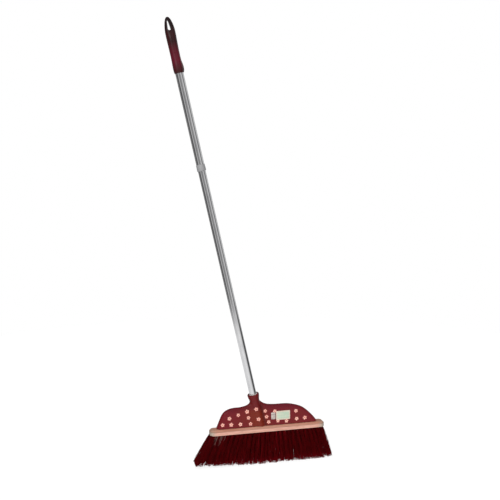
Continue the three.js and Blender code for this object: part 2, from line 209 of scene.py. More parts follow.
def wood_paint():
    p = Paint("block_wood", Specular_IOR_Level=0.35)
    grain = p.noise(1, 5, 0.6, p.stretched((9, 120, 120)), 0.6)
    pores = p.noise(1, 3, 0.6, p.stretched((60, 900, 900)))
    base = p.ramp(grain, (0.28, colour(178, 118, 92)), (0.45, colour(214, 160, 140)),
                  (0.6, colour(226, 176, 158)), (0.8, colour(204, 148, 124)))
    dark_pores = p.ramp(pores, (0.3, (0.62, 0.54, 0.5)), (0.5, (1, 1, 1)))
    base = p.mix(0.65, base, p.mix(1.0, base, dark_pores, "MULTIPLY"))
    from_middle = p.add("ShaderNodeMath", {0: p.axis("X")}, operation="ABSOLUTE").outputs[0]
    end_grain = p.mix(p.range(p.noise(1, 3, 0.6, p.stretched((140, 260, 500))), 0.3, 0.7),
                      colour(158, 142, 126), colour(192, 176, 160))
    base = p.mix(p.range(from_middle, 0.150, 0.164), base, end_grain)
    # Painted shade and painted reflection: the top bevel and top face are painted browner, as if shaded by the
    # cover and reflecting its maroon.
    ledge_shade = p.range(p.axis("Z"), BLOCK_TOP * MM - 0.0055, BLOCK_TOP * MM - 0.0035)
    base = p.mix(ledge_shade, base, p.mix(0.6, base, colour(182, 120, 92)))
    # Painted shade: a thin dark line is painted where the top bevel meets the front face.
    edge_shade_line = p.ramp(p.range(p.axis("Z"), BLOCK_TOP * MM - 0.0068, BLOCK_TOP * MM - 0.0040),
                  (0.0, (0, 0, 0)), (0.4, (1, 1, 1)), (0.6, (1, 1, 1)), (1.0, (0, 0, 0)))
    p.paint(p.mix(edge_shade_line, base, p.mix(0.6, base, colour(120, 70, 48))))
    p.rough(p.range(grain, 0.3, 0.7, 0.5, 0.66))
    return p.bump(pores, 0.00012, 0.6).mat


def bristle_paint(name, root, tip, pale):
    p = Paint(name, Specular_IOR_Level=0.05)
    island = p.add("ShaderNodeNewGeometry").outputs["Random Per Island"]
    strand = p.ramp(island, (0.0, root), (0.6, tip), (0.93, tip), (1.0, pale))
    lit = p.range(p.axis("Z"), 0.085, 0.020, 0, 0.8)
    strand = p.mix(lit, strand, p.mix(0.55, strand, tip))
    worn = p.range(p.axis("Z"), 0.0, 0.022, 1, 0)
    along = p.noise(1, 2, 0.5, p.stretched((400, 400, 60)))
    base = p.mix(p.range(along, 0.3, 0.7, 0, 0.35), strand, root)
    p.paint(p.mix(worn, base, p.mix(0.45, base, pale)))
    p.rough(p.range(along, 0.3, 0.7, 0.36, 0.52))
    return p.bump(along, 0.00004, 0.3).mat


def steel_paint(name, bright, dark, low, high):
    p = Paint(name, Metallic=1.0)
    fine = p.noise(1, 4, 0.6, p.stretched((700, 700, 26)))
    smudge = p.noise(34, 4, 0.6)
    base = p.mix(p.range(smudge, 0.35, 0.7), bright, dark)
    p.paint(p.mix(p.range(fine, 0.3, 0.7, 0, 0.3), base, dark))
    streaks = p.range(fine, 0.3, 0.7, low, high)
    smeared = p.range(smudge, 0.4, 0.7, 0, 0.05)
    p.rough(p.add("ShaderNodeMath", {0: streaks, 1: smeared}, operation="ADD").outputs[0])
    return p.bump(fine, 0.00001, 0.25).mat


def moulded_paint(name, one, two, low, high, grain=900, depth=0.00005, **sockets):
    """Moulded plastic: slow change of shade, and a fine grain in the surface."""
    p = Paint(name, **sockets)
    p.paint(p.mix(p.range(p.noise(26, 4), 0.35, 0.68), one, two))
    p.rough(p.range(p.noise(90, 3), 0.3, 0.7, low, high))
    return p.bump(p.noise(grain, 2), depth, 0.5).mat


def grip_paint():
    p = Paint("grip_plastic", Specular_IOR_Level=0.3)
    along = p.axis("Z")
    cloud = p.noise(24, 3)
    base = p.mix(p.range(cloud, 0.35, 0.7), colour(64, 22, 22), colour(48, 16, 18))
    # Painted reflection: a band over the lower middle of the grip is painted magenta, where a highlight lies.
    reflected_band = p.ramp(p.range(along, GRIP_LOW * MM, GRIP_HIGH * MM), (0.02, (0, 0, 0)), (0.22, (1, 1, 1)),
                  (0.38, (0.8, 0.8, 0.8)), (0.56, (0, 0, 0)))
    base = p.mix(reflected_band, base, p.mix(0.8, base, colour(100, 12, 36)))
    # Painted shade: the hanging loop at the top of the grip is painted nearly black.
    loop_shade = p.range(along, (GRIP_HIGH - 46) * MM, (GRIP_HIGH - 26) * MM)
    p.paint(p.mix(loop_shade, base, p.mix(0.85, base, colour(24, 10, 14))))
    p.rough(p.range(p.noise(110, 3), 0.3, 0.7, 0.24, 0.34))
    return p.bump(p.noise(1100, 2), 0.00006, 0.5).mat


# ---------------------------------------------------------------- mesh helpers


def new_piece(name, points, faces, paint, body, slot, replaced=(), smooth=True, matrix=None):
    """A mesh piece from points in millimetres."""
    mesh = bpy.data.meshes.new(name)
    mesh.from_pydata([[c * MM for c in p] for p in points], [], faces)
    tidy = bmesh.new()
    tidy.from_mesh(mesh)
    bmesh.ops.recalc_face_normals(tidy, faces=tidy.faces)
    tidy.to_mesh(mesh)
    tidy.free()
    if smooth:
        mesh.shade_smooth()
    obj = bpy.data.objects.new(name, mesh)
    bpy.context.scene.collection.objects.link(obj)
    if matrix is not None:
        obj.matrix_world = matrix
    finish_piece(obj, paint, body, replaced)
    return obj


def finish_piece(obj, paint, body, replaced=()):
    if paint is not None:
        obj.data.materials.clear()
        obj.data.materials.append(paint)
    if body:
        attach(obj, body)
    if replaced:
        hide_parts(*replaced)


def apply_modifiers(obj):
    graph = bpy.context.evaluated_depsgraph_get()
    mesh = bpy.data.meshes.new_from_object(obj.evaluated_get(graph))
    obj.modifiers.clear()
    obj.data = mesh


def loft(rings, closed=True, caps=True):
    """Points and faces through rings of equal length; caps close the first and last ring."""
    count = len(rings[0])
    points = [p for ring in rings for p in ring]
    faces = []
    for j in range(len(rings) - 1):
        for k in range(count if closed else count - 1):
            a, b = j * count + k, j * count + (k + 1) % count
            faces.append((a, b, b + count, a + count))
    if caps:
        faces.append(tuple(range(count))[::-1])
        faces.append(tuple(range((len(rings) - 1) * count, len(rings) * count)))
    return points, faces


def lathe(profile, sides=96):
    """A turned shape about Z. A profile that ends where it starts is a closed ring."""
    hollow = profile[0] == profile[-1]
    rows = profile[:-1] if hollow else profile
    rings = [[(r * math.cos(2 * math.pi * k / sides), r * math.sin(2 * math.pi * k / sides), z)
              for k in range(sides)] for r, z in rows]
    if hollow:
        return loft(rings + [rings[0]], caps=False)[0][:len(rows) * sides], wrapped_faces(len(rows), sides)
    return loft(rings)


def wrapped_faces(rows, sides):
    faces = []
    for j in range(rows):
        for k in range(sides):
            a, b = j * sides + k, j * sides + (k + 1) % sides
            up = (j + 1) % rows - j
            faces.append((a, b, b + up * sides, a + up * sides))
    return faces


def curve_through(knots, gap):
    """Smooth points through (x, z) knots, about gap apart."""
    made = []
    padded = [knots[0], *knots, knots[-1]]
    for p0, p1, p2, p3 in zip(padded, padded[1:], padded[2:], padded[3:]):
        a, b, c, d = map(Vector, (p0, p1, p2, p3))
        steps = max(1, round((c - b).length / gap))
        for i in range(steps):
            t = i / steps
            made.append(0.5 * (2 * b + (c - a) * t + (2 * a - 5 * b + 4 * c - d) * t * t
                               + (3 * b - a - 3 * c + d) * t ** 3))
    made.append(Vector(knots[-1]))
    return made


def melt(obj, voxel, passes):
    """Joins overlapping closed shells into one skin, and softens its edges."""
    remesh = obj.modifiers.new("skin", "REMESH")
    remesh.mode = "VOXEL"
    remesh.voxel_size = voxel * MM
    remesh.use_smooth_shade = True
    soften = obj.modifiers.new("soften", "SMOOTH")
    soften.factor = 0.5
    soften.iterations = passes
    apply_modifiers(obj)


def carve(obj, points, faces, matrix=Matrix.Identity(4)):
    """Cuts a closed shape out of obj."""
    tool = new_piece("tool", points, faces, None, None, None, matrix=matrix)
    difference = obj.modifiers.new("cut", "BOOLEAN")
    difference.operation = "DIFFERENCE"
    difference.solver = "EXACT"
    difference.object = tool
    apply_modifiers(obj)
    bpy.data.objects.remove(tool)


def place_points(points, matrix):
    """Points in millimetres moved by a matrix in metres."""
    return [tuple((matrix @ (Vector(p) * MM)) / MM) for p in points]


def shells(*parts):
    """Several (points, faces) shapes as one."""
    points, faces = [], []
    for more_points, more_faces in parts:
        faces += [tuple(i + len(points) for i in f) for f in more_faces]
        points += more_points
    return points, faces


def corner_of(node, which):
    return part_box(node)[which] / MM


# ---------------------------------------------------------------- sizes, in millimetres

BLOCK_LOW, BLOCK_HIGH = corner_of("wooden_block", 0), corner_of("wooden_block", 1)
BLOCK_TOP = BLOCK_HIGH.z
COVER_LOW, COVER_HIGH = corner_of("head_cover", 0), corner_of("head_cover", 1)
HOOD_TOP = 166
FACE_FOOT, FACE_TOP = 11.6, 8.0  # half the hood's depth at its foot and at its top
MOUTH = span("head_cover")[1]
GRIP_LOW, GRIP_HIGH = span("grip")
RING_LOW, RING_HIGH = span("socket_ring")


def half_depth(z):
    share = (z - COVER_LOW.z) / (HOOD_TOP - COVER_LOW.z)
    return FACE_FOOT + (FACE_TOP - FACE_FOOT) * share


# ---------------------------------------------------------------- cover


def hood_outline():
    """The hood's outline from its left foot over the top to its right foot."""
    low, left, right = COVER_LOW.z, COVER_LOW.x, COVER_HIGH.x
    neck_at = MOUTH - 22
    neck_x = FOOT_X / MM - math.sin(LEAN) * neck_at
    neck_z = math.cos(LEAN) * neck_at
    half = 12.6
    knots = [
        (left - 1, low), (left + 4, low + 12), (left + 13, low + 34), (left + 21, low + 46),
        (left + 33, HOOD_TOP - 3.2), (left + 49, HOOD_TOP + 0.5), (left + 66, HOOD_TOP + 0.8),
        (neck_x - half - 30, HOOD_TOP + 1.2), (neck_x - half - 14, HOOD_TOP + 4.4),
        (neck_x - half - 4, HOOD_TOP + 10), (neck_x - half + 1, neck_z),
        (neck_x + half - 1, neck_z), (neck_x + half + 3, HOOD_TOP + 17), (neck_x + half + 12, HOOD_TOP + 10),
        (neck_x + half + 26, HOOD_TOP + 5), (neck_x + half + 46, HOOD_TOP + 3),
        (right - 112, HOOD_TOP + 2.8), (right - 88, HOOD_TOP + 2), (right - 64, HOOD_TOP - 3),
        (right - 42, low + 45), (right - 23, low + 30), (right - 5, low + 11), (right + 2, low),
    ]
    return curve_through(knots, 1.6)


def hood_shell():
    """The hood: columns from its foot up to the outline, with the edge rounded over."""
    top = hood_outline()
    low = COVER_LOW.z
    first, last = top[0].x, top[-1].x
    foot = [first + (last - first) * i / (len(top) - 1) for i in range(len(top))]
    foot = [f * 0.35 + t.x * 0.65 for f, t in zip(foot, top)]
    edge_radius = 8.0
    rows = 26
    grid = []
    for x_foot, crest in zip(foot, top):
        column = []
        for j in range(rows + 1):
            v = math.sin(0.5 * math.pi * j / rows)
            x = x_foot + (crest.x - x_foot) * v
            z = low + (crest.y - low) * v
            near = min((Vector((x, z)) - p).length for p in top)
            round_off = math.sqrt(max(0.0, 1 - (1 - min(near / edge_radius, 1)) ** 2))
            column.append((x, half_depth(z) * round_off, z))
        grid.append(column)
    points, faces = [], []
    for side in (-1, 1):
        for column in grid:
            points += [(x, side * y, z) for x, y, z in column]
    count = rows + 1
    back = len(grid) * count
    for i in range(len(grid) - 1):
        for j in range(rows):
            a = i * count + j
            faces.append((a, a + count, a + count + 1, a + 1))
            faces.append((back + a, back + a + 1, back + a + count + 1, back + a + count))
        a = i * count
        faces.append((a, back + a, back + a + count, a + count))
    return points, faces


def welded(points, faces, apart=0.002):
    """The same shape with points that coincide joined, and no empty faces."""
    work = bmesh.new()
    made = [work.verts.new(p) for p in points]
    for face in faces:
        corners = [made[i] for i in face]
        if len(set(face)) > 2:
            work.faces.new(corners)
    bmesh.ops.remove_doubles(work, verts=work.verts, dist=apart)
    bmesh.ops.dissolve_degenerate(work, edges=work.edges, dist=apart)
    work.verts.index_update()
    result = [tuple(v.co) for v in work.verts], [tuple(v.index for v in f.verts) for f in work.faces]
    work.free()
    return result


def neck_shell():
    """The neck, round at the mouth and wider across where it runs down the faces as a ridge."""
    stations = [
        # along the axis, half width, half depth
        (104, 15.0, 15.4), (116, 14.8, 15.2), (130, 14.6, 15.0), (145, 14.5, 14.8), (160, 14.4, 14.6),
        (172, 14.3, 14.4), (186, 14.2, 14.2), (192, 14.5, 14.5), (197, 15.5, 15.4), (201, 16.6, 16.4),
        (204, 17.0, 16.8), (MOUTH - 1.0, 17.0, 16.8), (MOUTH, 16.7, 16.5), (MOUTH + 0.8, 15.6, 15.4),
    ]
    sides = 72
    rings = []
    for along, wide, deep in stations:
        ring = []
        for k in range(sides):
            turn = 2 * math.pi * k / sides
            ring.append((wide * math.cos(turn), deep * math.sin(turn), along))
        rings.append(ring)
    points, faces = loft(rings)
    floor = COVER_LOW.z
    flat = [(x, y, max(z, floor)) for x, y, z in place_points(points, HANDLE)]
    return flat, faces


def bore_tool():
    """What the neck's socket is cut with: the seat for the ring, and the bore below it."""
    foot = MOUTH - 46
    return lathe([
        (0.01, foot), (10.4, foot), (11.5, foot + 1.2), (11.5, MOUTH - 4.6), (11.9, MOUTH - 3.8),
        (12.9, MOUTH - 3.4), (13.0, MOUTH - 2.6), (13.05, MOUTH - 1.0), (13.4, MOUTH),
        (14.4, MOUTH + 1.2), (14.4, MOUTH + 3), (0.01, MOUTH + 3),
    ], 72)


def valley_tool():
    """A long wedge that cuts the valley on the right of the ridge, from the hood's foot to its top."""
    foot, top = COVER_LOW.z - 2, HOOD_TOP + 4
    rings = []
    for z, wide in ((foot, 3.4), (HOOD_TOP - 6, 3.0), (top, 0.8)):
        share = (z - foot) / (top - foot)
        middle = FOOT_X / MM - math.tan(LEAN) * z + 15.5 + 1.8 * share
        face = half_depth(z)
        rings.append([(middle - wide, -face - 8, z), (middle, -face + 2.0, z), (middle + wide, -face - 8, z)])
    return loft(rings)


def make_cover():
    cover = new_piece("cover", *shells(welded(*hood_shell()), neck_shell()), None, None, None)
    melt(cover, 1.15, 2)
    carve(cover, *valley_tool())
    melt(cover, 1.0, 6)
    points, faces = hood_shell()
    thinner = [(x * 0.965, y * 0.7, COVER_LOW.z - 3 + (z - COVER_LOW.z) * 0.88) for x, y, z in points]
    carve(cover, *welded(thinner, faces))
    carve(cover, *bore_tool(), matrix=HANDLE)
    cover.data.shade_smooth()
    finish_piece(cover, cover_paint(), "head", ["head_cover"])
    return cover


def surface_of(obj):
    graph = bpy.context.evaluated_depsgraph_get()
    return BVHTree.FromObject(obj, graph)


# Printed flowers: (across, up) on the hood's front.
FLOWERS = [
    (-133, 122), (-108, 121), (-81, 120), (-51, 119), (-113, 139), (-87, 147), (-57, 137),
    (-28, 132), (-61, 155), (-35, 162), (-7, 153), (-3, 136), (3, 120), (31, 121), (57, 119), (22, 150),
    (86, 146), (88, 123), (113, 124),
]


def make_flowers(cover):
    """Five-lobed flowers of ink on the hood's front, each with a bare middle."""
    skin = surface_of(cover)
    rng = random.Random(11)
    points, faces = [], []
    lobes, petal_steps, rings = 5, 8, 4
    count = lobes * petal_steps
    for across, up in FLOWERS:
        size = rng.uniform(5.3, 6.2)
        turned_by = rng.uniform(0, math.pi)
        first = len(points)
        for r in range(rings + 1):
            for k in range(count):
                turn = 2 * math.pi * k / count
                petal = size * (0.60 + 0.40 * abs(math.cos(lobes * turn / 2)) ** 0.8)
                radius = 1.15 + (petal - 1.15) * r / rings
                x = across + radius * math.cos(turn + turned_by)
                z = up + radius * math.sin(turn + turned_by)
                hit, normal, _, _ = skin.ray_cast(Vector((x, -60, z)) * MM, Vector((0, 1, 0)))
                if hit is None:
                    hit, normal = Vector((x, -8, z)) * MM, Vector((0, -1, 0))
                edge = 0.0 if r in (0, rings) else 0.12
                points.append(tuple(hit / MM + normal * (0.03 + edge)))
        for r in range(rings):
            for k in range(count):
                a, b = first + r * count + k, first + r * count + (k + 1) % count
                faces.append((a, b, b + count, a + count))
    flowers = new_piece("printed_flowers", points, faces, print_paint(), "head", "cover_plastic")
    return flowers


# ---------------------------------------------------------------- label


def plate(name, node, paint, slot, lift=0.0, shrink=0.0):
    """A thin plate with rounded corners, lying on the hood's sloped front."""
    low, high = corner_of(node, 0), corner_of(node, 1)
    tilt = math.atan((FACE_FOOT - FACE_TOP) / (HOOD_TOP - COVER_LOW.z))
    middle = (low + high) / 2
    wide = (high.x - low.x) / 2 - shrink
    tall = (high.z - low.z) / 2 - shrink
    corner = 2.2
    rings = []
    for inset, proud in ((0.25, -0.3), (0, -0.1), (0, 0.2), (0.25, 0.32), (0.6, 0.36)):
        ring = []
        for sx, sz, start in ((1, 1, 0), (-1, 1, 90), (-1, -1, 180), (1, -1, 270)):
            for step in range(7):
                turn = math.radians(start + 15 * step)
                r = corner - inset
                ring.append((sx * (wide - corner) + r * math.cos(turn),
                             -(proud + lift), sz * (tall - corner) + r * math.sin(turn)))
        rings.append(ring)
    points, faces = loft(rings)
    stand = Matrix.Translation(middle * MM) @ Matrix.Rotation(-tilt, 4, "X")
    return new_piece(name, place_points(points, stand), faces, paint, "head", slot, [node])


def make_labels():
    green = label_paint("label_green", colour(178, 198, 174), colour(198, 208, 188), colour(208, 204, 182))
    cream = label_paint("label_cream", colour(212, 196, 176), colour(222, 208, 190), colour(200, 184, 164))
    white = label_paint("label_white", colour(200, 184, 176), colour(150, 142, 136), colour(222, 206, 198))
    panel = plate("label_border", "label_panel", cream, "label_green")
    field = plate("label_field", "label_panel", green, "label_green", lift=0.28, shrink=3.2)
    field.parent = panel
    tag = plate("label_tag_plate", "label_tag", white, "label_white")
    return panel, field, tag


# ---------------------------------------------------------------- wooden block


def make_block():
    """Rounded in plan, with a planed bevel round its top edge and eased edges below."""
    half_x = (BLOCK_HIGH.x - BLOCK_LOW.x) / 2
    half_y = (BLOCK_HIGH.y - BLOCK_LOW.y) / 2
    middle = (BLOCK_HIGH.x + BLOCK_LOW.x) / 2
    low, top, corner = BLOCK_LOW.z, BLOCK_HIGH.z, 13
    # (inset from the widest outline, height)
    profile = [(1.4, low), (0.6, low + 0.2), (0.15, low + 0.7), (0, low + 1.5),
               (0, top - 5.4), (0.12, top - 4.9), (0.5, top - 4.5), (2.2, top - 2.7),
               (3.9, top - 1.0), (4.6, top - 0.45), (5.4, top - 0.1), (6.4, top)]
    rings = []
    for inset, z in profile:
        ring = []
        for sx, sy, start in ((1, 1, 0), (-1, 1, 90), (-1, -1, 180), (1, -1, 270)):
            for step in range(16):
                turn = math.radians(start + 6 * step)
                r = corner - inset
                ring.append((middle + sx * (half_x - corner) + r * math.cos(turn),
                             sy * (half_y - corner) + r * math.sin(turn), z))
        rings.append(ring)
    return new_piece("block", *loft(rings), wood_paint(), "head", "block_wood", ["wooden_block"])


# ---------------------------------------------------------------- bristles

ROWS = 5
TUFTS = 27
STRANDS = 62
STRAND_SIDES = 3
STRAND_STEPS = 9
FULL_TURN = 6.28
ROOT_HALF = 163  # the outermost tufts, from the middle
SPLAY_LEFT, SPLAY_RIGHT = 50, 31
PITCH_ROOT, PITCH_TIP = 6.2, 8.8


def tip_height(x):
    """How far the tips are off the floor: trimmed flat, and worn away to the left."""
    left_wear = max(0.0, (-40 - x) / 150) * 9.0
    right_wear = max(0.0, (x - 170) / 25) * 4.0
    return left_wear + right_wear


def strand(points, faces, path, thick_root, thick_tip, spin):
    first = len(points)
    for i, (x, y, z) in enumerate(path):
        t = i / (len(path) - 1)
        radius = (thick_root + (thick_tip - thick_root) * t) / 2
        for k in range(STRAND_SIDES):
            turn = spin + 2 * math.pi * k / STRAND_SIDES
            points.append((x + radius * math.cos(turn), y + radius * math.sin(turn), z))
    for i in range(len(path) - 1):
        for k in range(STRAND_SIDES):
            a = first + i * STRAND_SIDES + k
            b = first + i * STRAND_SIDES + (k + 1) % STRAND_SIDES
            faces.append((a, b, b + STRAND_SIDES, a + STRAND_SIDES))
    last = first + (len(path) - 1) * STRAND_SIDES
    faces.append(tuple(range(first, first + STRAND_SIDES))[::-1])
    faces.append(tuple(range(last, last + STRAND_SIDES)))


def strand_path(rng, root, tip, bow, steps=STRAND_STEPS):
    """From root to tip, straight out of the block at first, with a slight wave."""
    phase_x, phase_y = rng.uniform(0, FULL_TURN), rng.uniform(0, FULL_TURN)
    waves = rng.uniform(2.2, 3.4)
    path = []
    for i in range(steps + 1):
        t = i / steps
        ease = t ** 0.9
        wave = 0.42 * math.sin(math.pi * min(1.0, t * 1.3))
        path.append((
            root[0] + (tip[0] - root[0]) * ease + bow[0] * 4 * t * (1 - t)
            + wave * math.sin(waves * FULL_TURN * t + phase_x),
            root[1] + (tip[1] - root[1]) * ease + bow[1] * 4 * t * (1 - t)
            + wave * math.sin(waves * FULL_TURN * t + phase_y),
            root[2] + (tip[2] - root[2]) * t,
        ))
    return path


def make_row(index, paint):
    rng = random.Random(100 + index)
    offset = index - (ROWS - 1) / 2
    stagger = 0.25 if index % 2 else -0.25
    points, faces = [], []
    for tuft in range(TUFTS):
        place = (tuft + stagger) / (TUFTS - 1) * 2 - 1
        place = max(-1.0, min(1.0, place))
        root_x = BLOCK_X + ROOT_HALF * place
        splay = SPLAY_LEFT if place < 0 else SPLAY_RIGHT
        lean = rng.uniform(-1.6, 1.6)
        clumps = [(rng.uniform(-10.0, 10.0), rng.uniform(-4.4, 4.4), rng.uniform(-1.6, 1.6))
                  for _ in range(8)]
        for number in range(STRANDS):
            turn, spread = rng.uniform(0, FULL_TURN), math.sqrt(rng.random())
            root = (root_x + 4.8 * spread * math.cos(turn),
                    offset * PITCH_ROOT + 2.6 * spread * math.sin(turn),
                    BLOCK_LOW.z + 1.5)
            clump = clumps[number % len(clumps)]
            stray = 1.0 if rng.random() > 0.05 else 2.0
            tip_x = root_x + splay * place + lean + clump[0] + stray * rng.gauss(0, 1.7)
            tip_x = max(FAN_LEFT, min(FAN_RIGHT, tip_x))
            tip_y = offset * PITCH_TIP + clump[1] + stray * rng.gauss(0, 1.0)
            tip_y = max(-FAN_DEEP, min(FAN_DEEP, tip_y))
            short = abs(rng.gauss(0, 0.8)) + (rng.uniform(2, 7) if rng.random() < 0.06 else 0)
            tip_z = max(0.2, tip_height(tip_x) + max(0.0, clump[2]) + short)
            bow = (rng.gauss(0, 0.9), rng.gauss(0, 0.6))
            thick = rng.uniform(0.70, 0.90)
            strand(points, faces, strand_path(rng, root, (tip_x, tip_y, tip_z), bow), thick, thick * 0.75,
                   rng.uniform(0, FULL_TURN))
    name = f"bristles_row_{index + 1}"
    return new_piece(name, points, faces, paint, "head", "bristle_fibre", [f"bristle_row_{index + 1}"])


def make_loose_strands(paint):
    """A few pale strands that have come loose at the front, at the left-hand end."""
    rng = random.Random(41)
    points, faces = [], []
    for number in range(9):
        x = BLOCK_LOW.x + 16 + 3.2 * number + rng.uniform(-1.5, 1.5)
        root = (x, -16.2 + rng.uniform(0, 1.2), BLOCK_LOW.z + 0.8)
        length = rng.uniform(10, 30)
        tip = (x - length * rng.uniform(0.05, 0.6), -18.5 - rng.uniform(0, 1.8), BLOCK_LOW.z - length)
        bow = (rng.uniform(-1.5, 2.5), -0.6)
        strand(points, faces, strand_path(rng, root, tip, bow, 12), 0.7, 0.45, rng.uniform(0, FULL_TURN))
    return new_piece("loose_strands", points, faces, paint, "head", "bristle_fibre")


# ---------------------------------------------------------------- handle

TUBE_WALL = 0.4


def turned_piece(name, profile, paint, body, slot, replaced, sides=96):
    points, faces = lathe(profile, sides)
    piece = new_piece(name, points, faces, paint, body, slot, replaced, matrix=HANDLE)
    mark_sharp(piece)
    return piece


def mark_sharp(obj, degrees=38):
    bpy.context.view_layer.update()
    obj.data.set_sharp_from_angle(angle=math.radians(degrees))


def tube_profile(inner, outer, low, high):
    """A drawn tube with eased rims."""
    ease = min(0.15, (outer - inner) / 3)
    return [(inner, low + ease), (inner + ease, low), (outer - ease, low), (outer, low + ease),
            (outer, high - ease), (outer - ease, high), (inner + ease, high), (inner, high - ease),
            (inner, low + ease)]


def make_tubes():
    steel = steel_paint("tube_steel", (0.82, 0.82, 0.82, 1), (0.70, 0.70, 0.71, 1), 0.05, 0.09)
    lower = span("lower_tube")
    upper = span("upper_tube")
    lower_radius, upper_radius = reach("lower_tube"), reach("upper_tube")
    turned_piece("handle_lower_tube", tube_profile(lower_radius - TUBE_WALL, lower_radius, *lower), steel,
                 "lower_handle", "tube_steel", ["lower_tube"], 128)
    turned_piece("handle_upper_tube", tube_profile(upper_radius - TUBE_WALL, upper_radius, *upper), steel,
                 "upper_handle", "tube_steel", ["upper_tube"], 128)


def make_collar():
    low, high = span("collar")
    seat = low + 7 - 0.3
    lip = reach("lower_tube") + 0.3
    bore = reach("upper_tube") + 0.2
    profile = [(lip, low + 0.4), (lip + 0.4, low), (bore + 0.5, low), (bore + 1.0, low + 0.4),
               (bore + 1.2, low + 1.2), (bore + 1.15, low + 3), (bore + 0.85, high - 1.6),
               (bore + 0.7, high - 0.6), (bore + 0.4, high - 0.1), (bore + 0.1, high), (bore, high - 0.2),
               (bore, seat), (lip, seat), (lip, low + 0.4)]
    grey = moulded_paint("collar_plastic", colour(158, 158, 158), colour(144, 144, 145), 0.42, 0.56)
    turned_piece("collar_sleeve", profile, grey, "upper_handle", "collar_plastic", ["collar"])


def make_mouth_ring(nylon):
    inner, outer = reach("socket_ring", min), reach("socket_ring")
    shoulder = inner + 0.9
    profile = [(inner, RING_LOW), (outer - 0.3, RING_LOW), (outer, RING_LOW + 0.3), (outer, RING_LOW + 1.2),
               (outer - 0.3, RING_LOW + 1.6), (shoulder, RING_LOW + 1.8), (shoulder, RING_HIGH - 1.6),
               (shoulder - 0.3, RING_HIGH - 1.2), (inner + 0.2, RING_HIGH - 1.1), (inner, RING_HIGH - 1.3),
               (inner, RING_LOW)]
    turned_piece("mouth_ring_white", profile, nylon, "mouth_ring", "white_nylon", ["socket_ring"])


def smooth_stations(stations, gap):
    """Stations (along, left, right, deep) filled in smoothly."""
    columns = [curve_through([(s[0], s[c]) for s in stations], gap) for c in (1, 2, 3)]
    return [(a.x, a.y, b.y, c.y) for a, b, c in zip(*columns)]


def grip_shell(stations, sides, shift=0.0):
    rings = []
    for along, left, right, deep in stations:
        ring = []
        for k in range(sides):
            turn = 2 * math.pi * k / sides
            across = (right if math.cos(turn) > 0 else left) * math.cos(turn)
            ring.append((shift + across, deep * math.sin(turn), along))
        rings.append(ring)
    return loft(rings)


def guard_crease(low, side):
    """A thin wedge that scores the line between the sleeve and its finger guard, front or back."""
    across, deep, half_wide = 8.4, 9.6, 0.75
    section = [(across - half_wide, side * 20), (across, side * deep), (across + half_wide, side * 20)]
    return loft([[(x, y, z) for x, y in section] for z in (low - 2, low + 34)])


def make_grip():
    low = GRIP_LOW
    body = smooth_stations([
        (low, 12.0, 12.2, 12.0), (low + 1.5, 12.9, 13.0, 12.8), (low + 4, 13.4, 13.4, 13.2),
        (low + 12, 13.8, 13.8, 13.6), (low + 24, 13.5, 13.5, 13.3), (low + 36, 13.0, 13.0, 12.8),
        (low + 52, 12.7, 12.9, 12.6), (low + 76, 13.0, 13.6, 12.9), (low + 98, 13.2, 14.6, 12.8),
        (low + 112, 12.8, 14.9, 9.6), (low + 122, 11.6, 14.2, 7.8), (low + 132, 9.6, 12.4, 6.9),
        (low + 141, 6.9, 9.8, 5.9), (low + 146, 4.2, 6.8, 4.6), (low + 149.3, 1.2, 3.0, 2.0),
    ], 2.0)
    guard = smooth_stations([
        (low + 1.2, 6.0, 8.0, 6.4), (low + 4, 7.0, 9.5, 7.6), (low + 12, 7.2, 10.2, 7.8),
        (low + 21, 7.0, 9.4, 7.2), (low + 32, 6.4, 7.4, 6.2), (low + 42, 5.8, 5.6, 4.6),
    ], 2.0)
    grip = new_piece("grip_body", *shells(grip_shell(body, 64), grip_shell(guard, 48, 5.6)), None, None, None)
    eye_foot, eye_top = low + 118, low + 138
    outline = [(4.6 * math.cos(a), eye_foot + 4.6 * math.sin(a)) for a in
               (math.pi + math.pi * i / 14 for i in range(15))]
    outline += [(2.0 * math.cos(a), eye_top + 2.0 * math.sin(a)) for a in
                (math.pi * i / 10 for i in range(11))]
    slot_rings = [[(x, y, z) for x, z in outline] for y in (-30, 30)]
    melt(grip, 0.9, 2)
    carve(grip, *loft(slot_rings))
    melt(grip, 0.75, 6)
    carve(grip, *shells(guard_crease(low, -1), guard_crease(low, 1)))
    tube_top = span("upper_tube")[1]
    bore = reach("upper_tube") + 0.2
    carve(grip, *lathe([(0.01, low - 4), (bore, low - 4),
                        (bore, tube_top + 0.3), (0.01, tube_top + 0.3)], 64))
    grip.matrix_world = HANDLE
    grip.data.shade_smooth()
    finish_piece(grip, grip_paint(), "upper_handle", ["grip"])
    return grip


# ---------------------------------------------------------------- stage

CAMERA_AT = (-0.5364, -1.9505, 0.8324)
CAMERA_AZIMUTH = math.radians(-14)
CAMERA_PITCH = math.radians(6)
CAMERA_LENS = 51.6


def make_camera():
    data = bpy.data.cameras.new("camera")
    data.lens, data.sensor_width = CAMERA_LENS, 36
    data.clip_start, data.clip_end = 0.05, 60
    camera = bpy.data.objects.new("camera", data)
    camera.location = CAMERA_AT
    camera.rotation_euler = (math.pi / 2 - CAMERA_PITCH, 0, CAMERA_AZIMUTH)
    bpy.context.scene.collection.objects.link(camera)
    bpy.context.scene.camera = camera


def softbox(name, bearing, height, distance, wide, tall, power):
    """An area light at a bearing from the front, turned towards the broom."""
    data = bpy.data.lights.new(name, "AREA")
    data.shape, data.size, data.size_y, data.energy = "RECTANGLE", wide, tall, power
    light = bpy.data.objects.new(name, data)
    turn = math.radians(bearing)
    light.location = (math.sin(turn) * distance, -math.cos(turn) * distance, height)
    aim = Vector((-0.1, 0, 0.5)) - light.location
    light.rotation_euler = aim.to_track_quat("-Z", "Y").to_euler()
    bpy.context.scene.collection.objects.link(light)


